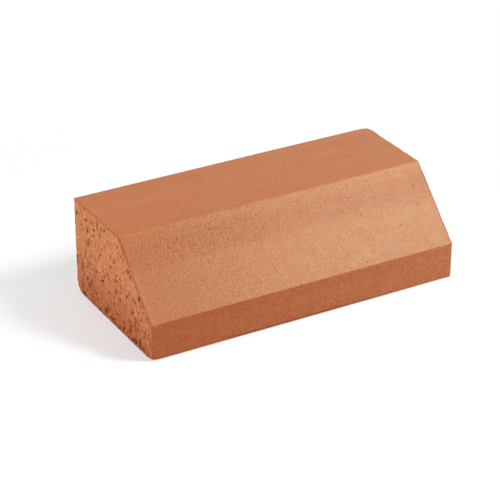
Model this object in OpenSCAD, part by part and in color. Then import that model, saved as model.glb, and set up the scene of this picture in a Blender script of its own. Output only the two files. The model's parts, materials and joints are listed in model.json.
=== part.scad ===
// Plinth stretcher: a solid clay brick with its top front edge splayed back.
// The clay is pushed through a die that gives the section, then wire-cut to length,
// dried and fired as one piece. The brick lies on its full-depth bed, with the
// splay facing the front (-Y) and its length along X.

/* [Format] */
// Length along the face of the wall
brick_length = 215; // [150:0.5:300]
// Depth from the front face to the back face
brick_depth = 102.5; // [80:0.5:150]
// Height from the bottom bed to the top bed
brick_height = 65; // [45:0.5:90]

/* [Splay] */
// Height of the upright strip of face left under the splay
upstand_height = 24; // [8:0.5:36]
// Depth of the flat top bed left behind the splay
top_bed_depth = 61.5; // [30:0.5:72]

/* [Arrises formed by the die] */
// Radius between the top bed and the splay
crest_radius = 3; // [0.5:0.1:6]
// Radius between the splay and the upright strip
nose_radius = 1; // [0.5:0.1:6]
// Radius between the bottom bed and the front or back face
foot_radius = 1.5; // [0.5:0.1:4]
// Radius between the top bed and the back face
heel_radius = 1; // [0.5:0.1:4]

/* [Arrises left by the wire cut] */
// Radius round each cut end
end_radius = 1.2; // [0.5:0.1:4]

/* [Hidden] */
$fn = 96;

front = -brick_depth / 2;
back = brick_depth / 2;
crest = back - top_bed_depth;
cut_end = brick_length / 2;

// Section seen from the +X end, as [y, z] corners that run anticlockwise
section_corners = [
    [front, 0],
    [back, 0],
    [back, brick_height],
    [crest, brick_height],
    [front, upstand_height]
];
section_radii = [foot_radius, foot_radius, heel_radius, crest_radius, nose_radius];

// Reach of the cutting bars past the faces that they trim
spill = 1;

function unit(v) = v / norm(v);
function next_of(i, list) = list[(i + 1) % len(list)];
function last_of(i, list) = list[(i + len(list) - 1) % len(list)];

// The sliver that a round of the given radius takes off the corner p between two straight sides
module corner_waste(p, towards_a, towards_b, radius) {
    half_angle = acos(towards_a * towards_b) / 2;
    tangent = radius / tan(half_angle);
    centre = p + unit(towards_a + towards_b) * radius / sin(half_angle);
    difference() {
        polygon([p, p + towards_a * tangent, centre, p + towards_b * tangent]);
        translate(centre) circle(radius);
    }
}

// The outline of the die, with a round at every corner
module die_outline() {
    difference() {
        polygon(section_corners);
        for (i = [0 : len(section_corners) - 1]) {
            p = section_corners[i];
            towards_last = unit(last_of(i, section_corners) - p);
            towards_next = unit(next_of(i, section_corners) - p);
            corner_waste(p, towards_last, towards_next, section_radii[i]);
        }
    }
}

// The extruded column, cut square to the length of the brick
module column() {
    rotate([90, 0, 90])
        linear_extrude(brick_length, center = true)
            die_outline();
}

// A bar that rounds the edge where one long side of the section meets a cut end
module end_bar(p, q) {
    along = unit(q - p);
    reach = norm(q - p) + 2 * spill;
    bar = end_radius + spill;
    translate([cut_end - end_radius, p[0], p[1]])
        rotate([atan2(along[1], along[0]), 0, 0])
            translate([0, -spill, end_radius])
                rotate([-90, 0, 0])
                    linear_extrude(reach)
                        difference() {
                            square(bar);
                            circle(end_radius);
                        }
}

module brick() {
    color("#c5845b")
        difference() {
            column();
            for (end = [0, 1], i = [0 : len(section_corners) - 1])
                mirror([end, 0, 0])
                    end_bar(section_corners[i], next_of(i, section_corners));
        }
}

brick();
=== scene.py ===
import json
import math
import random

import bpy
import numpy as np
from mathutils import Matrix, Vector, noise


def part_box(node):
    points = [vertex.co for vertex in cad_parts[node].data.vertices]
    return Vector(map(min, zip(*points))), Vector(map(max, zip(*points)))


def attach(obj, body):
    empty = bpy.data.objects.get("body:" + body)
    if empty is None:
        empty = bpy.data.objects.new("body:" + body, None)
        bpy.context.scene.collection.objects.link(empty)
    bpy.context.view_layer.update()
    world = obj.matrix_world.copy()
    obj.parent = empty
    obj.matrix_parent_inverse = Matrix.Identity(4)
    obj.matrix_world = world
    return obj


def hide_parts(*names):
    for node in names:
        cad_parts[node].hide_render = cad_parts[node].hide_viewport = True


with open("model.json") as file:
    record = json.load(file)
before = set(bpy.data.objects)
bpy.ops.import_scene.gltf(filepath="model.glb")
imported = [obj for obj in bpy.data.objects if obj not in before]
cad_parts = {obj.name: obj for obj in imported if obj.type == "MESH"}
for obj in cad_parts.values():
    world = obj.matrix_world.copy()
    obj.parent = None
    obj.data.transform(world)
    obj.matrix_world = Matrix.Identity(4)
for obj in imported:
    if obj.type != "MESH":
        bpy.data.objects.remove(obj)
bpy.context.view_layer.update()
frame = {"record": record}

# Brick
# A solid plinth stretcher of red clay. A die presses the section, which leaves smooth long faces, and a
# taut wire cuts it to length, which tears grit out of both ends, most at the bottom where it leaves.
# It is dried and fired as one piece, and has since lost three corners in handling.
MM = 0.001
low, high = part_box("brick")
front, back, height, cut_end = low.y / MM, high.y / MM, high.z / MM, high.x / MM
mount_places = {mount["name"]: mount["pos_m"] for mount in frame["record"]["mounts"]}
drawn_crest = 2 * mount_places["top_bed"][1] / MM - back
# The drawn splay goes back at 45 degrees, so it rises as far as it goes back. The real one left the die
# a little flatter, with its crest set back and its nose raised.
crest_set_back = 0.6
nose_raised = 0.2
crest_depth = drawn_crest + crest_set_back
upstand = height - (drawn_crest - front) + nose_raised
slope = (height - upstand) / (crest_depth - front)

# The section's corners as depth and height in millimetres, anticlockwise seen from the +X end, and the
# radius that the die gives each of them
front_foot, back_foot, heel, crest, nose = range(5)
die_corners = np.array([(front, 0), (back, 0), (back, height), (crest_depth, height), (front, upstand)])
arris_rounds = [1.5, 1.5, 1.0, 3.0, 1.0]
# Steps of the fine mesh round an arris, up the back or the upstand, over the top bed and down the splay.
# The bottom bed is stepped like the top, so that upright columns of mesh cross the ends.
arris_steps = 8
upright_steps = 124
top_steps = 132
splay_steps = 92
bed_steps = top_steps + arris_steps + splay_steps
face_steps = [bed_steps, upright_steps, top_steps, splay_steps, upright_steps]


def unit(direction):
    return direction / np.linalg.norm(direction)


def arris(corner):
    """Points round one corner of the section, and the directions in which they face"""
    here = die_corners[corner]
    to_last = unit(die_corners[corner - 1] - here)
    to_next = unit(die_corners[(corner + 1) % len(die_corners)] - here)
    half_angle = math.acos(to_last @ to_next) / 2
    centre = here + unit(to_last + to_next) * arris_rounds[corner] / math.sin(half_angle)
    first = math.atan2(to_last[0], -to_last[1])
    turns = np.linspace(first, first + math.pi - 2 * half_angle, arris_steps + 1)
    ways = np.stack([np.cos(turns), np.sin(turns)], 1)
    return centre + ways * arris_rounds[corner], ways


def face(corner, shares):
    """Points along the flat face that follows a corner, at shares of its width, and where they face"""
    start = arris(corner)[0][-1]
    end = arris((corner + 1) % len(die_corners))[0][0]
    along = unit(end - start)
    points = start + np.outer(shares, end - start)
    return points, np.tile([along[1], -along[0]], (len(points), 1))


def even_shares(corner):
    return np.linspace(0, 1, face_steps[corner] + 1)


top_depths = np.concatenate([
    face(heel, even_shares(heel))[0][:, 0],
    arris(crest)[0][1:-1, 0],
    face(crest, even_shares(crest))[0][:, 0],
])[::-1]
bed_shares = (top_depths - top_depths[0]) / (top_depths[-1] - top_depths[0])
runs = [arris(front_foot), face(front_foot, bed_shares[1:-1])]
for corner in range(back_foot, nose + 1):
    runs += [arris(corner), face(corner, even_shares(corner)[1:-1])]
# The loop round the section starts half way round the front foot
half_foot = arris_steps // 2
section = np.roll(np.concatenate([points for points, ways in runs]), -half_foot, 0)
section_facing = np.roll(np.concatenate([ways for points, ways in runs]), -half_foot, 0)
loop = len(section)
columns = bed_steps + arris_steps
rows = upright_steps + arris_steps

# Long faces: every second point round an arris and every fourth across a face, at stations along the
# length. A face also keeps the points beside its arrises, so that the rounds end crisply.
arris_stride = 2
face_stride = 4
cut_round = 0.9
fan_width = 0.8
station_gap = 1.56
skin_end = cut_end - cut_round - fan_width
stations = np.linspace(-skin_end, skin_end, 2 * round(skin_end / station_gap) + 1)
kept = []
point = -half_foot
for steps in face_steps:
    kept += range(point, point + arris_steps, arris_stride)
    point += arris_steps
    kept += [point, point + 1, *range(point + face_stride, point + steps, face_stride)]
    point += steps
    kept.append(point - 1)
kept = np.sort(np.array(kept) % loop)
skin_loop = len(kept)
skin_count = len(stations) * skin_loop
skin_facing = np.tile(section_facing[kept], (len(stations), 1))
places = [np.column_stack([np.repeat(stations, skin_loop), np.tile(section[kept], (len(stations), 1))])]
facings = [np.column_stack([np.zeros(skin_count), skin_facing])]
cut_shares = [np.zeros(skin_count)]
faces = []
for station in range(len(stations) - 1):
    for step in range(skin_loop):
        here = station * skin_loop + step
        beside = station * skin_loop + (step + 1) % skin_loop
        faces.append((here, beside, beside + skin_loop, here + skin_loop))

# Cut ends: fine loops round the arris, then a grid of columns across the face
loop_turns = np.radians([0, 30, 60, 90])
count = skin_count
for end in (1, -1):
    last_station = skin_count - skin_loop if end == 1 else 0
    first_loop = count
    for turn in loop_turns:
        along = cut_end - cut_round * (1 - math.sin(turn))
        inset = section - section_facing * cut_round * (1 - math.cos(turn))
        outwards = section_facing * math.cos(turn)
        places.append(np.column_stack([np.full(loop, end * along), inset]))
        facings.append(np.column_stack([np.full(loop, end * math.sin(turn)), outwards]))
        cut_shares.append(np.full(loop, math.sin(turn) ** 2))
        count += loop
    end_faces = []
    # The coarse loop of the long faces meets the first fine one in fans of triangles
    for step in range(skin_loop):
        here = last_station + step
        beside = last_station + (step + 1) % skin_loop
        span = (kept[(step + 1) % skin_loop] - kept[step]) % loop
        fine = [first_loop + (kept[step] + k) % loop for k in range(span + 1)]
        half = span // 2
        end_faces += [(here, fine[k + 1], fine[k]) for k in range(half)]
        end_faces.append((here, beside, fine[half]))
        end_faces += [(beside, fine[k + 1], fine[k]) for k in range(half, span)]
    for ring in range(len(loop_turns) - 1):
        for step in range(loop):
            here = first_loop + ring * loop + step
            beside = first_loop + ring * loop + (step + 1) % loop
            end_faces.append((here, beside, beside + loop, here + loop))
    # Grid of point numbers over the face: columns run from front to back, rows run upwards. Its rim is
    # the last loop, and the points inside are a blend of its four sides.
    rim = places[-1][:, 1:]
    grid = np.zeros((columns + 1, rows + 1), int)
    grid[:, 0] = np.arange(columns + 1)
    grid[-1, :] = columns + np.arange(rows + 1)
    grid[::-1, -1] = columns + rows + np.arange(columns + 1)
    grid[0, ::-1] = (2 * columns + rows + np.arange(rows + 1)) % loop
    bed_line, top_line = rim[grid[:, 0]][:, None], rim[grid[:, -1]][:, None]
    front_line, back_line = rim[grid[0, :]][None], rim[grid[-1, :]][None]
    across = (bed_line[:, :, :1] - bed_line[0, 0, 0]) / (bed_line[-1, 0, 0] - bed_line[0, 0, 0])
    upwards = (back_line[:, :, 1:] - back_line[0, 0, 1]) / (back_line[0, -1, 1] - back_line[0, 0, 1])
    blend = (1 - upwards) * bed_line + upwards * top_line + (1 - across) * front_line + across * back_line
    blend -= (1 - across) * ((1 - upwards) * rim[grid[0, 0]] + upwards * rim[grid[0, -1]])
    blend -= across * ((1 - upwards) * rim[grid[-1, 0]] + upwards * rim[grid[-1, -1]])
    inner = blend[1:-1, 1:-1].reshape(-1, 2)
    grid += count - loop
    grid[1:-1, 1:-1] = count + np.arange(len(inner)).reshape(columns - 1, rows - 1)
    places.append(np.column_stack([np.full(len(inner), end * cut_end), inner]))
    facings.append(np.tile([end, 0.0, 0.0], (len(inner), 1)))
    cut_shares.append(np.ones(len(inner)))
    count += len(inner)
    for column in range(columns):
        for row in range(rows):
            square = grid[column:column + 2, row:row + 2]
            end_faces.append((square[0, 0], square[1, 0], square[1, 1], square[0, 1]))
    faces += end_faces if end == 1 else [corners[::-1] for corners in end_faces]
# Where each point lies before any relief, which way it faces, and how far it belongs to a cut end
place = np.concatenate(places)
at_length, at_depth, at_height = place.T.copy()
facing = np.concatenate(facings)
faces_right, faces_back, faces_up = facing.T
cut = np.concatenate(cut_shares)


def lumps(size, shift):
    """Smooth noise of about -1 to 1 at every point, with lumps of a size in millimetres along each axis.
    A shift of its own keeps one use from repeating another."""
    return np.array([noise.noise(Vector(lump_place)) for lump_place in place / size + shift])


# Die skin: shallow ripples that run the whole length, and a slow unevenness from drying
skin_set_in = 0.16
ripple = 0.07 * lumps((900.0, 11.0, 11.0), 3.7)
drying = 0.12 * lumps((70.0, 30.0, 30.0), 8.1)
skin_depth = skin_set_in - (ripple + drying)

# Wire-cut ends: faint drag lines down the face, torn clay between them and a broad unevenness
end_set_in = 0.42
drag = 0.03 * lumps((5.0, 1.3, 7.0), 1.3)
torn = 0.1 * (lumps((5.0, 3.0, 4.4), 5.9) + 0.6 * lumps((5.0, 1.3, 1.9), 7.7))
broad = 0.14 * lumps((5.0, 20.0, 28.0), 2.2)
cut_depth = end_set_in + drag + torn + broad
# The right end was cut a little out of square, so it leans out at the top
right_lean = 0.28
cut_depth -= np.where(at_length > 0, right_lean * (2 * at_height / height - 1), 0)

# Pits where the wire pulled grit out of an end, each as its place across the depth, its height up the
# face, and half its width and height, in millimetres. The left end's larger ones are listed, and
# smaller ones are drawn between them. Those of the right end are all drawn, with larger ones among them.
left_pits = [
    (8.3, 61.2, 1.1, 0.9), (27.5, 57.9, 0.85, 0.9), (35.4, 56.0, 1.0, 0.75), (47.7, 56.0, 1.0, 1.0),
    (23.5, 54.4, 0.9, 1.0), (15.2, 54.2, 0.85, 1.3), (33.3, 50.2, 0.95, 1.7), (32.9, 41.1, 0.85, 2.0),
    (16.2, 40.6, 0.95, 0.85), (1.7, 39.3, 1.1, 0.85), (-12.9, 53.3, 0.95, 0.7), (-22.1, 47.1, 0.85, 1.5),
    (-10.8, 36.8, 0.85, 0.75), (-5.2, 33.3, 0.9, 0.9), (-12.1, 31.8, 0.95, 0.8), (6.7, 31.3, 1.0, 0.85),
    (10.4, 28.7, 0.85, 0.9), (4.6, 29.6, 0.85, 0.75), (22.9, 26.0, 0.85, 1.8), (42.1, 21.3, 0.85, 3.6),
    (-20.0, 29.6, 0.95, 0.7), (-30.8, 30.8, 0.95, 0.8), (-35.8, 35.2, 1.0, 1.7), (-26.7, 22.1, 1.0, 1.4),
    (-6.2, 26.7, 0.85, 0.75), (-10.0, 22.3, 0.85, 0.8), (5.0, 20.0, 0.85, 0.85), (-2.1, 15.7, 1.0, 0.85),
    (33.3, 12.1, 1.5, 1.3), (29.6, 14.6, 0.9, 0.9), (23.7, 10.4, 1.0, 0.9), (42.9, 7.9, 0.85, 1.5),
    (10.4, 4.8, 1.7, 1.9), (-22.9, 7.1, 1.2, 1.0), (-30.4, 3.6, 1.2, 2.0), (-35.8, 5.4, 1.0, 2.4),
    (-33.7, 14.0, 0.85, 0.9), (-14.6, 4.4, 0.9, 1.8), (2.1, 3.2, 1.4, 1.2), (40.4, 2.6, 1.4, 1.0),
    (49.4, 25.0, 1.0, 0.85), (-6.2, 10.4, 1.0, 0.8), (-14.6, 8.7, 1.0, 0.75), (-25.5, 2.2, 1.3, 1.2),
    (-8.5, 2.4, 1.0, 1.3), (18.5, 2.0, 1.2, 0.9), (-40.5, 3.0, 1.0, 1.6), (27.0, 3.0, 0.95, 0.85),
]
pits_per_end = 250
share_torn_low = 0.45
drawn_half_widths = (0.4, 0.7)
drawn_stretches = [0.9, 1.0, 1.2, 1.6, 2.4]
drawn_strengths = (0.45, 1.0)
pit_reach = 1.2
wall_steepness = 5.0
smear_reach = 1.3
smear_strength = 0.14
pit_draw = random.Random(11)
# Painted shade fills each pit and fades out a little past its edge
pit_and_groove_shade = np.zeros(len(place))
pit_depth = np.zeros(len(place))
ragged = 1 + 0.3 * lumps((5.0, 0.9, 1.3), 4.4)
for end, placed_pits, extra_width in ((-1, left_pits, 0.25), (1, [], 0.55)):
    at_end = np.flatnonzero((cut > 0.4) & (at_length * end > 0))
    pits = [(*pit, 1.0) for pit in placed_pits]
    while len(pits) < pits_per_end:
        across_face = pit_draw.uniform(front + 1, back - 1)
        top_here = min(height, upstand + slope * (across_face - front))
        rise = pit_draw.uniform(0.5, top_here - 0.5)
        # The wire leaves at the bottom, where it tears most
        if pit_draw.random() < share_torn_low:
            rise *= pit_draw.random() ** 1.5
        half_width = pit_draw.uniform(*drawn_half_widths) + extra_width * pit_draw.random() ** 4
        half_height = half_width * pit_draw.choice(drawn_stretches)
        pits.append((across_face, rise, half_width, half_height, pit_draw.uniform(*drawn_strengths)))
    for across_face, rise, half_width, half_height, strength in pits:
        across_gap = (at_depth[at_end] - across_face) / half_width
        upward_gap = (at_height[at_end] - rise) / half_height
        gap = np.hypot(across_gap, upward_gap) * ragged[at_end]
        bite = strength * np.clip(wall_steepness * (pit_reach - gap), 0, 1)
        pit_depth[at_end] = np.maximum(pit_depth[at_end], bite * (0.4 + 0.6 * half_width))
        smear = smear_strength * strength * np.clip(smear_reach - 0.5 * gap, 0, 1)
        pit_and_groove_shade[at_end] = np.maximum(pit_and_groove_shade[at_end], np.maximum(bite, smear))

# The wire folds the skin over along the top and splay of an end, which leaves a thin broken groove
groove_inset = 1.1
groove_half_width = 0.75
groove_depth = 0.35
groove_shade = 0.45
from_splay = (upstand + slope * (at_depth - front) - at_height) / math.hypot(1, slope)
from_edge = np.minimum(height - at_height, from_splay)
groove = np.clip(1 - np.abs(from_edge - groove_inset) / groove_half_width, 0, 1)
groove *= np.clip(0.9 + 0.6 * lumps((5.0, 6.0, 6.0), 6.6), 0, 1)
groove[cut < 0.7] = 0
# Painted shade darkens the groove
pit_and_groove_shade = np.maximum(pit_and_groove_shade, groove_shade * groove)

# The arris round an end is crumbled
crumble_depth = 0.5
end_arris = np.sin(2 * np.arcsin(np.sqrt(cut)))
crumble = end_arris * np.clip(lumps((4.0, 4.0, 4.0), 2.8) + 0.15, 0, 1) * crumble_depth
depth = skin_depth * (1 - cut) + (cut_depth + pit_depth + groove_depth * groove) * cut + crumble

# Clay worn pale by handling on patches of both end arrises, and a painted highlight along most of the
# upright arris at the front left
patchy_arris = 0.5 * end_arris * np.clip(2.2 * lumps((3.0, 3.0, 3.0), 7.1) - 0.5, 0, 1)
front_left_highlight = end_arris * (faces_right < 0) * (faces_back < -0.3) * (np.abs(faces_up) < 0.2)
front_left_highlight *= np.clip(0.2 + 3.0 * lumps((2.0, 2.0, 2.6), 3.4), 0, 1)
# A painted sheen lies along the crest, more towards the right
crest_sheen_reach = 2.0
crest_sheen_fade = 1.2
from_crest = np.hypot(at_depth - crest_depth, at_height - height)
crest_sheen = np.clip((crest_sheen_reach - from_crest) / crest_sheen_fade, 0, 1)
crest_sheen *= np.clip(1 - (at_depth - crest_depth), 0, 1)
crest_sheen *= np.interp(at_length, [-100, 100], [0.22, 0.6])
crest_sheen *= 1 + 0.4 * lumps((9.0, 3.0, 3.0), 5.2)
# The wire left the margin of the splay at the left end paler, most towards the nose
margin_width = 7
margin = np.clip(1 - (at_length + cut_end) / margin_width, 0, 1) * (faces_back < -0.4) * (faces_up > 0.4)
margin *= np.interp(at_height, [upstand, 45, 58], [0.2, 0.2, 0.0])
margin *= 1 + 0.5 * lumps((4.0, 4.0, 4.0), 9.9)
pale_wear_and_highlight = np.max([patchy_arris, front_left_highlight, crest_sheen, margin], 0)

# Scuffs on both sides of the crest, most on its left half
scuff_middle = -65
scuff_reach = 50
scuff_from_crest = 12
scuff_half_width = 14
scuff_strength = 0.55
scuff_along = (at_length - scuff_middle) / scuff_reach
scuff_across = (from_crest - scuff_from_crest) / scuff_half_width
scuffed = scuff_strength * np.exp(-scuff_along ** 2 - scuff_across ** 2)

# Painted shade along the foot where it meets the ground, which thins out towards the right
foot_shade_height = 2.6
foot_shade_fade = 1.6
foot_shade_ends = 70
foot_shade_thins_over = 50
foot_shade = np.clip((foot_shade_height - at_height) / foot_shade_fade, 0, 1) * (1 - cut)
foot_shade *= np.clip(0.75 + 1.2 * lumps((40.0, 40.0, 40.0), 1.8), 0, 1)
foot_shade *= np.clip((foot_shade_ends - at_length) / foot_shade_thins_over, 0, 1)

# The relief goes inwards only, so that the brick stays inside its drawn size
place -= facing * np.maximum(depth, 0)[:, None]

# Corners lost in handling: which corner, and how far the break reaches along length, depth and height
breaks = [((-1, -1, 0), (2.6, 4.6, 2.6)), ((-1, 1, 0), (3.4, 4.2, 4.8)), ((1, 1, 1), (2.6, 2.6, 1.6))]
break_round = 0.9
break_edge = 0.8
worn = np.zeros(len(place))
uneven = 0.35 * lumps((2.6, 2.6, 2.6), 9.3)
for (to_right, to_back, to_top), legs in breaks:
    corner = np.array([to_right * cut_end, to_back * back, to_top * height])
    outwards = np.array([to_right, to_back, 2 * to_top - 1]) / legs
    reach = 1 / np.linalg.norm(outwards)
    outwards = outwards * reach
    beyond = (place - corner) @ outwards + reach + uneven
    place -= outwards * (break_round * np.logaddexp(0, beyond / break_round))[:, None]
    worn = np.maximum(worn, np.clip(beyond / break_edge + 0.5, 0, 1))

brick_mesh = bpy.data.meshes.new("fired_brick")
brick_mesh.from_pydata((place * MM).tolist(), [], [[int(k) for k in corners] for corners in faces])
brick_mesh.shade_smooth()
marks = {
    "cut_face": cut, "pit_and_groove_shade": pit_and_groove_shade, "worn": worn,
    "pale_wear_and_highlight": pale_wear_and_highlight, "scuffed": scuffed, "foot_shade": foot_shade,
}
for name, values in marks.items():
    layer = brick_mesh.attributes.new(name, "FLOAT", "POINT")
    layer.data.foreach_set("value", values.astype(np.float32))
brick = bpy.data.objects.new("fired_brick", brick_mesh)
bpy.context.scene.collection.objects.link(brick)


def from_hex(code):
    """An sRGB hex colour as linear red, green, blue and alpha"""
    parts = [int(code[k:k + 2], 16) / 255 for k in (1, 3, 5)]
    return [p / 12.92 if p <= 0.04045 else ((p + 0.055) / 1.055) ** 2.4 for p in parts] + [1.0]


def add_node(tree, kind, settings=(), links=()):
    """Adds a node, sets its sockets and properties, and links other nodes' sockets to it"""
    node = tree.nodes.new(kind)
    for name, value in dict(settings).items():
        if isinstance(name, int) or name in node.inputs:
            node.inputs[name].default_value = value
        else:
            setattr(node, name, value)
    for name, source in dict(links).items():
        tree.links.new(source, node.inputs[name])
    return node


# Extruded red clay, fired: the die burnishes the long faces, so they are dull and even, with a soft warm
# sheen, fine grain and a few specks of burnt grit. The wire leaves the ends open, matt and torn.
clay = bpy.data.materials.new("extruded_red_clay")
clay.use_nodes = True
clay_tree = clay.node_tree
surface = clay_tree.nodes["Principled BSDF"]
coords = add_node(clay_tree, "ShaderNodeTexCoord")
spot = coords.outputs["Object"]
spot_parts = add_node(clay_tree, "ShaderNodeSeparateXYZ", (), {0: spot})
looks_up = add_node(clay_tree, "ShaderNodeSeparateXYZ", (), {0: coords.outputs["Normal"]}).outputs["Z"]
marked = {}
for name in marks:
    marked[name] = add_node(clay_tree, "ShaderNodeAttribute", {"attribute_name": name}).outputs["Fac"]

# Patterns in the clay: tone from the kiln, bands drawn along the length by the die, tears on the ends,
# mottling, grain, and the nicks of scuffs with the patches that they lie in. Each has the size of its
# lumps along length, depth and height in millimetres, the detail and roughness of its noise, and the levels
# of noise between which it comes up. The clay's own grain is near 0.3 mm, too fine to show, so it is drawn
# at 1.1 mm.
patterns = {
    "kiln": ((60, 60, 60), 2.0, 0.5, 0.0, 1.0),
    "bands": ((400, 8, 8), 3.0, 0.5, 0.3, 0.7),
    "tears": ((1.4, 1.4, 1.8), 3.0, 0.65, 0.3, 0.7),
    "mottle": ((7, 7, 7), 4.0, 0.5, 0.3, 0.7),
    "grain": ((1.1, 1.1, 1.1), 2.0, 0.5, 0.3, 0.7),
    "nicks": ((1.2, 1.3, 1.3), 1.0, 0.5, 0.615, 0.665),
    "patches": ((30, 30, 30), 2.0, 0.5, 0.42, 0.66),
}
pattern = {}
share = {}
for name, (lump, detail, roughness, starts, full) in patterns.items():
    lump_metres = [size * MM for size in lump]
    spread = add_node(
        clay_tree, "ShaderNodeVectorMath", {"operation": "DIVIDE", 1: lump_metres}, {0: spot})
    pattern[name] = add_node(
        clay_tree, "ShaderNodeTexNoise", {"Scale": 1.0, "Detail": detail, "Roughness": roughness},
        {"Vector": spread.outputs["Vector"]}).outputs["Fac"]
    share[name] = add_node(
        clay_tree, "ShaderNodeMapRange", {"From Min": starts, "From Max": full},
        {"Value": pattern[name]}).outputs["Result"]

# Sockets of a mix of two colours: how far it goes from the first to the second, the two, and the result
AMOUNT, FIRST, SECOND, MIXED = 0, 6, 7, 2


def tinted(colour, tint_share, darker, paler):
    """The clay's colour times a tint between the two given as factors of red, green and blue"""
    tint = add_node(
        clay_tree, "ShaderNodeMix", {"data_type": "RGBA", FIRST: (*darker, 1.0), SECOND: (*paler, 1.0)},
        {AMOUNT: tint_share})
    product = add_node(
        clay_tree, "ShaderNodeMix", {"data_type": "RGBA", "blend_type": "MULTIPLY", AMOUNT: 1.0},
        {FIRST: colour, SECOND: tint.outputs[MIXED]})
    return product.outputs[MIXED]


# Die skin: the upright faces are the reddest and pale a little to the right, which is painted light. The
# splay is the darkest and the top bed the yellowest
light_to_right = add_node(
    clay_tree, "ShaderNodeMapRange", {"From Min": -cut_end * MM, "From Max": cut_end * MM},
    {"Value": spot_parts.outputs["X"]})
upright_skin = add_node(
    clay_tree, "ShaderNodeMix",
    {"data_type": "RGBA", FIRST: from_hex("#b66642"), SECOND: from_hex("#c06f46")},
    {AMOUNT: light_to_right.outputs["Result"]})
splay_share = add_node(
    clay_tree, "ShaderNodeMapRange", {"From Min": 0.15, "From Max": 0.65}, {"Value": looks_up})
splay_skin = add_node(
    clay_tree, "ShaderNodeMix", {"data_type": "RGBA", SECOND: from_hex("#aa653c")},
    {AMOUNT: splay_share.outputs["Result"], FIRST: upright_skin.outputs[MIXED]})
top_share = add_node(
    clay_tree, "ShaderNodeMapRange", {"From Min": 0.74, "From Max": 0.84}, {"Value": looks_up})
skin = add_node(
    clay_tree, "ShaderNodeMix", {"data_type": "RGBA", SECOND: from_hex("#b66e42")},
    {AMOUNT: top_share.outputs["Result"], FIRST: splay_skin.outputs[MIXED]})
# A band of the splay is darker and redder. It starts 3.8 mm below the top bed, is strongest from 6.8 to
# 13 mm, ends at 20 mm, and is fainter towards the left end.
band_starts, band_full, band_thins, band_ends = [(height - below) * MM for below in (3.8, 6.8, 13, 20)]
band_strength = 0.65
band_whole_from = -30 * MM
band_left_share = 0.25
below_crest = add_node(
    clay_tree, "ShaderNodeMapRange",
    {"interpolation_type": "SMOOTHSTEP", "From Min": band_starts, "From Max": band_full},
    {"Value": spot_parts.outputs["Z"]})
above_foot = add_node(
    clay_tree, "ShaderNodeMapRange",
    {"interpolation_type": "SMOOTHSTEP", "From Min": band_ends, "From Max": band_thins,
     "To Max": band_strength},
    {"Value": spot_parts.outputs["Z"]})
band = add_node(
    clay_tree, "ShaderNodeMath", {"operation": "MULTIPLY"},
    {0: below_crest.outputs["Result"], 1: above_foot.outputs["Result"]})
on_splay = add_node(
    clay_tree, "ShaderNodeMapRange", {"From Min": 0.4, "From Max": 0.6}, {"Value": looks_up})
band_on_splay = add_node(
    clay_tree, "ShaderNodeMath", {"operation": "MULTIPLY"},
    {0: band.outputs["Value"], 1: on_splay.outputs["Result"]})
left_fade = add_node(
    clay_tree, "ShaderNodeMapRange",
    {"From Min": -cut_end * MM, "From Max": band_whole_from, "To Min": band_left_share},
    {"Value": spot_parts.outputs["X"]})
faded_band = add_node(
    clay_tree, "ShaderNodeMath", {"operation": "MULTIPLY"},
    {0: band_on_splay.outputs["Value"], 1: left_fade.outputs["Result"]})
red_band_skin = add_node(
    clay_tree, "ShaderNodeMix", {"data_type": "RGBA", SECOND: from_hex("#a2552d")},
    {AMOUNT: faded_band.outputs["Value"], FIRST: skin.outputs[MIXED]})
# The die draws faint bands along the length. The kiln fired the clay unevenly, and a painted sheen makes
# the skin paler towards the right, which leaves its left redder
kiln_unevenness = 0.8
banded_skin = tinted(red_band_skin.outputs[MIXED], share["bands"], (0.97, 0.945, 0.93), (1.03, 1.055, 1.07))
sheen_to_right = add_node(
    clay_tree, "ShaderNodeMapRange",
    {"From Min": -cut_end * MM, "From Max": cut_end * MM, "To Min": -0.4, "To Max": 0.6},
    {"Value": spot_parts.outputs["X"]})
kiln_and_sheen_share = add_node(
    clay_tree, "ShaderNodeMath", {"operation": "MULTIPLY_ADD", 1: kiln_unevenness},
    {0: share["kiln"], 2: sheen_to_right.outputs["Result"]})
kiln_and_sheen_skin = tinted(banded_skin, kiln_and_sheen_share.outputs["Value"], (1.025, 0.945, 0.825), (0.99, 1.05, 1.08))

# Torn clay on the ends, which is redder and darker towards the bottom. The kiln's tone moves the change up
# or down.
red_below = 14 * MM
pale_above = 60 * MM
kiln_shift = 30 * MM
low_torn = add_node(
    clay_tree, "ShaderNodeMix",
    {"data_type": "RGBA", FIRST: from_hex("#a65333"), SECOND: from_hex("#d87f53")},
    {AMOUNT: share["tears"]})
high_torn = add_node(
    clay_tree, "ShaderNodeMix",
    {"data_type": "RGBA", FIRST: from_hex("#bf683e"), SECOND: from_hex("#eba26e")},
    {AMOUNT: share["tears"]})
shifted_height = add_node(
    clay_tree, "ShaderNodeMath", {"operation": "MULTIPLY_ADD", 1: kiln_shift},
    {0: share["kiln"], 2: spot_parts.outputs["Z"]})
high_share = add_node(
    clay_tree, "ShaderNodeMapRange",
    {"interpolation_type": "SMOOTHSTEP", "From Min": red_below, "From Max": pale_above},
    {"Value": shifted_height.outputs["Value"]})
torn_clay = add_node(
    clay_tree, "ShaderNodeMix", {"data_type": "RGBA"},
    {AMOUNT: high_share.outputs["Result"],
     FIRST: low_torn.outputs[MIXED], SECOND: high_torn.outputs[MIXED]})
body = add_node(
    clay_tree, "ShaderNodeMix", {"data_type": "RGBA"},
    {AMOUNT: marked["cut_face"], FIRST: kiln_and_sheen_skin, SECOND: torn_clay.outputs[MIXED]})

# Mottling and grain tint the body: the darker clay is redder and the paler clay greyer
mottled = tinted(body.outputs[MIXED], share["mottle"], (0.97, 0.95, 0.94), (1.03, 1.05, 1.06))
grained = tinted(mottled, share["grain"], (0.88, 0.77, 0.71), (1.11, 1.23, 1.31))

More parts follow.
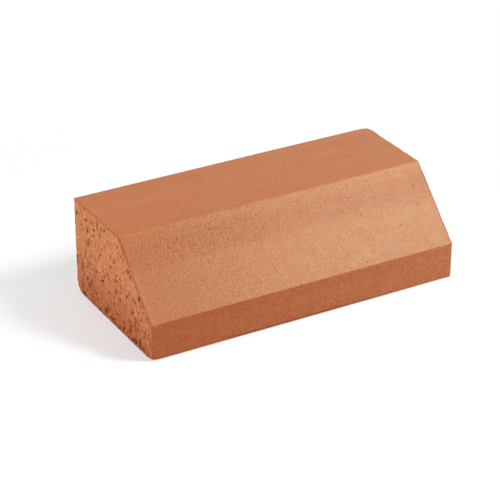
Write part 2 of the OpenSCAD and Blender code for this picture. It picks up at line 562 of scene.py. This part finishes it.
# Scuffs: small rust-red nicks, a few all over, more of them in patches and most beside the crest
nicks_all_over = 0.06
nicks_in_patches = 0.22
patchy = add_node(
    clay_tree, "ShaderNodeMath", {"operation": "MULTIPLY_ADD", 1: nicks_in_patches, 2: nicks_all_over},
    {0: share["patches"]})
closeness = add_node(
    clay_tree, "ShaderNodeMath", {"operation": "MAXIMUM"},
    {0: patchy.outputs["Value"], 1: marked["scuffed"]})
nicked = add_node(
    clay_tree, "ShaderNodeMath", {"operation": "MULTIPLY"},
    {0: share["nicks"], 1: closeness.outputs["Value"]})
scuffed_clay = add_node(
    clay_tree, "ShaderNodeMix",
    {"data_type": "RGBA", "blend_type": "MULTIPLY", SECOND: from_hex("#d09060")},
    {AMOUNT: nicked.outputs["Value"], FIRST: grained})
# Burnt grit: specks of about 1 mm, some 6.5 mm apart in the clay, so few reach the surface
grit_gap = 6.5 * MM
grit = add_node(clay_tree, "ShaderNodeTexVoronoi", {"Scale": 1 / grit_gap}, {"Vector": spot})
speck = add_node(
    clay_tree, "ShaderNodeMapRange", {"From Min": 0.035, "From Max": 0.085, "To Min": 1.0, "To Max": 0.0},
    {"Value": grit.outputs["Distance"]})
gritty = add_node(
    clay_tree, "ShaderNodeMix", {"data_type": "RGBA", SECOND: from_hex("#9c5233")},
    {AMOUNT: speck.outputs["Result"], FIRST: scuffed_clay.outputs[MIXED]})
# Painted shade on the foot, pale wear with painted highlight and sheen, painted shade in pits and groove
wear_and_highlight_strength = 0.8
foot_shaded = add_node(
    clay_tree, "ShaderNodeMix",
    {"data_type": "RGBA", "blend_type": "MULTIPLY", SECOND: from_hex("#c8bdb8")},
    {AMOUNT: marked["foot_shade"], FIRST: gritty.outputs[MIXED]})
pale_share = add_node(
    clay_tree, "ShaderNodeMath", {"operation": "MULTIPLY", 1: wear_and_highlight_strength}, {0: marked["pale_wear_and_highlight"]})
pale_clay = add_node(
    clay_tree, "ShaderNodeMix", {"data_type": "RGBA", SECOND: from_hex("#cf9d76")},
    {AMOUNT: pale_share.outputs["Value"], FIRST: foot_shaded.outputs[MIXED]})
pitted = add_node(
    clay_tree, "ShaderNodeMix", {"data_type": "RGBA", SECOND: from_hex("#4d1c0c")},
    {AMOUNT: marked["pit_and_groove_shade"], FIRST: pale_clay.outputs[MIXED]})
clay_tree.links.new(pitted.outputs[MIXED], surface.inputs["Base Color"])

# Sheen: the die burnishes the skin, and it is matt where the wire cut, a corner broke or a nick opened it.
# Fired clay has an IOR near 1.5, but its fine pores weaken the sheen, and the clay in them warms it.
burnished = 0.29
open_matt = 0.66
matt_unevenness = 0.12
open_face = add_node(
    clay_tree, "ShaderNodeMath", {"operation": "MAXIMUM"}, {0: marked["cut_face"], 1: marked["worn"]})
open_clay = add_node(
    clay_tree, "ShaderNodeMath", {"operation": "MAXIMUM"},
    {0: open_face.outputs["Value"], 1: nicked.outputs["Value"]})
matt = add_node(
    clay_tree, "ShaderNodeMapRange", {"To Min": burnished, "To Max": open_matt},
    {"Value": open_clay.outputs["Value"]})
uneven_matt = add_node(
    clay_tree, "ShaderNodeMath", {"operation": "MULTIPLY_ADD", 1: matt_unevenness},
    {0: pattern["mottle"], 2: matt.outputs["Result"]})
clay_tree.links.new(uneven_matt.outputs["Value"], surface.inputs["Roughness"])
surface.inputs["IOR"].default_value = 1.5
surface.inputs["Specular IOR Level"].default_value = 0.185
surface.inputs["Specular Tint"].default_value = from_hex("#fff9d6")

# Relief too fine for the mesh, as heights in millimetres: grain, mottling, tears on the ends, sunken grit
grain_height = 0.12
mottle_height = 0.1
tear_height = 0.12
grit_height = -0.1
grain_rise = add_node(
    clay_tree, "ShaderNodeMath", {"operation": "MULTIPLY", 1: grain_height}, {0: pattern["grain"]})
mottle_rise = add_node(
    clay_tree, "ShaderNodeMath", {"operation": "MULTIPLY_ADD", 1: mottle_height},
    {0: pattern["mottle"], 2: grain_rise.outputs["Value"]})
end_tears = add_node(
    clay_tree, "ShaderNodeMath", {"operation": "MULTIPLY"}, {0: pattern["tears"], 1: marked["cut_face"]})
tear_rise = add_node(
    clay_tree, "ShaderNodeMath", {"operation": "MULTIPLY_ADD", 1: tear_height},
    {0: end_tears.outputs["Value"], 2: mottle_rise.outputs["Value"]})
grit_rise = add_node(
    clay_tree, "ShaderNodeMath", {"operation": "MULTIPLY_ADD", 1: grit_height},
    {0: speck.outputs["Result"], 2: tear_rise.outputs["Value"]})
relief = add_node(clay_tree, "ShaderNodeBump", {"Distance": MM}, {"Height": grit_rise.outputs["Value"]})
clay_tree.links.new(relief.outputs["Normal"], surface.inputs["Normal"])

brick_mesh.materials.append(clay)
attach(brick, "root")
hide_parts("brick")

# Floor
# A sweep of matt white paper under the brick. It isn't part of the object: it keeps the brick's shadow
# close in, and fades to plain white further out.
floor_reach = 3.0
shadow_fades = 0.13
shadow_ends = 0.34
floor_mesh = bpy.data.meshes.new("paper_floor")
floor_mesh.from_pydata(
    [(-floor_reach, -floor_reach, 0), (floor_reach, -floor_reach, 0),
     (floor_reach, floor_reach, 0), (-floor_reach, floor_reach, 0)], [], [(0, 1, 2, 3)])
floor = bpy.data.objects.new("paper_floor", floor_mesh)
bpy.context.scene.collection.objects.link(floor)


def plainly_seen(tree):
    """1 for rays that show a surface, plainly, in a gloss or through glass, and 0 for the rest"""
    path = add_node(tree, "ShaderNodeLightPath")
    glossy_or_clear = add_node(
        tree, "ShaderNodeMath", {"operation": "MAXIMUM"},
        {0: path.outputs["Is Glossy Ray"], 1: path.outputs["Is Transmission Ray"]})
    seen = add_node(
        tree, "ShaderNodeMath", {"operation": "MAXIMUM"},
        {0: path.outputs["Is Camera Ray"], 1: glossy_or_clear.outputs["Value"]})
    return seen.outputs["Value"]


# White paper, uncoated: it has no gloss, and it throws a little light back up at the brick
paper = bpy.data.materials.new("white_paper")
paper.use_nodes = True
paper_tree = paper.node_tree
lit_paper = paper_tree.nodes["Principled BSDF"]
lit_paper.inputs["Base Color"].default_value = from_hex("#c8c8c8")
lit_paper.inputs["Roughness"].default_value = 0.9
lit_paper.inputs["Specular IOR Level"].default_value = 0.0
shown_paper = add_node(paper_tree, "ShaderNodeBsdfDiffuse", {"Color": from_hex("#ffffff")})
plain_white = add_node(paper_tree, "ShaderNodeEmission", {"Strength": 1.0})
floor_spot = add_node(paper_tree, "ShaderNodeTexCoord").outputs["Object"]
from_brick = add_node(paper_tree, "ShaderNodeVectorMath", {"operation": "LENGTH"}, {0: floor_spot})
fade = add_node(
    paper_tree, "ShaderNodeMapRange", {"From Min": shadow_fades, "From Max": shadow_ends, "To Min": 0.5},
    {"Value": from_brick.outputs["Value"]})
shown_floor = add_node(
    paper_tree, "ShaderNodeMixShader", (),
    {0: fade.outputs["Result"], 1: shown_paper.outputs["BSDF"], 2: plain_white.outputs["Emission"]})
floor_surface = add_node(
    paper_tree, "ShaderNodeMixShader", (),
    {0: plainly_seen(paper_tree), 1: lit_paper.outputs["BSDF"], 2: shown_floor.outputs["Shader"]})
floor_output = paper_tree.nodes["Material Output"]
paper_tree.links.new(floor_surface.outputs["Shader"], floor_output.inputs["Surface"])
floor_mesh.materials.append(paper)

# Light
# Soft boxes, as in a product studio: a main one to the front and right, which gives the splay its sheen,
# and weaker ones for the left end and the back. White walls all round fill the shadows.

# Direction from the brick, distance and width in metres, watts, and whether the box shows in a sheen
soft_boxes = {
    "soft_box_right": ((0.52, -0.465, 0.715), 1.2, 0.37, 13.3, True),
    "soft_box_left": ((-0.93, -0.02, 0.36), 0.9, 0.3, 3.3, False),
    "soft_box_back": ((0.1, 0.95, 0.3), 1.0, 0.5, 2.0, False),
}
lit_point = Vector((0, 0, 30 * MM))
for name, (direction, distance, width, watts, shows_in_sheen) in soft_boxes.items():
    box = bpy.data.objects.new(name, bpy.data.lights.new(name, "AREA"))
    box.data.shape = "DISK"
    box.data.size = width
    box.data.energy = watts
    towards_box = Vector(direction).normalized()
    box.location = towards_box * distance + lit_point
    box.rotation_euler = towards_box.to_track_quat("Z", "Y").to_euler()
    box.visible_camera = False
    box.visible_glossy = shows_in_sheen
    bpy.context.scene.collection.objects.link(box)
walls = bpy.data.worlds.new("white_walls")
walls.use_nodes = True
wall_tree = walls.node_tree
lit_walls = wall_tree.nodes["Background"]
lit_walls.inputs["Color"].default_value = from_hex("#ffffff")
lit_walls.inputs["Strength"].default_value = 0.26
shown_walls = add_node(wall_tree, "ShaderNodeBackground", {"Color": from_hex("#ffffff"), "Strength": 1.0})
wall_surface = add_node(
    wall_tree, "ShaderNodeMixShader", (),
    {0: plainly_seen(wall_tree),
     1: lit_walls.outputs["Background"], 2: shown_walls.outputs["Background"]})
wall_output = wall_tree.nodes["World Output"]
wall_tree.links.new(wall_surface.outputs["Shader"], wall_output.inputs["Surface"])
bpy.context.scene.world = walls
bpy.context.scene.view_settings.view_transform = "Standard"

# Camera
# A long lens at the photograph's angle: the brick's left end and front, a little from above.
# Its distance and its shift off the middle of the brick are in millimetres.
camera_turn = math.radians(-29.61)
camera_tilt = math.radians(27.76)
camera_distance = 1279.8
shift_right = -9.75
shift_up = -7.6
picture_pixels = 500
focal_pixels = 2042.15
sensor_width = 36
camera = bpy.data.objects.new("camera", bpy.data.cameras.new("camera"))
level_reach = math.cos(camera_tilt)
backwards = Vector((
    math.sin(camera_turn) * level_reach, -math.cos(camera_turn) * level_reach, math.sin(camera_tilt)))
rightwards = Vector((0, 0, 1)).cross(backwards).normalized()
camera_up = backwards.cross(rightwards)
brick_middle = Vector((0, 0, height / 2 * MM))
camera_offset = rightwards * shift_right + camera_up * shift_up + backwards * camera_distance
camera.location = brick_middle + camera_offset * MM
camera.rotation_mode = "QUATERNION"
camera.rotation_quaternion = backwards.to_track_quat("Z", "Y")
camera.data.sensor_width = sensor_width
camera.data.lens = focal_pixels / picture_pixels * sensor_width
bpy.context.scene.collection.objects.link(camera)
bpy.context.scene.camera = camera
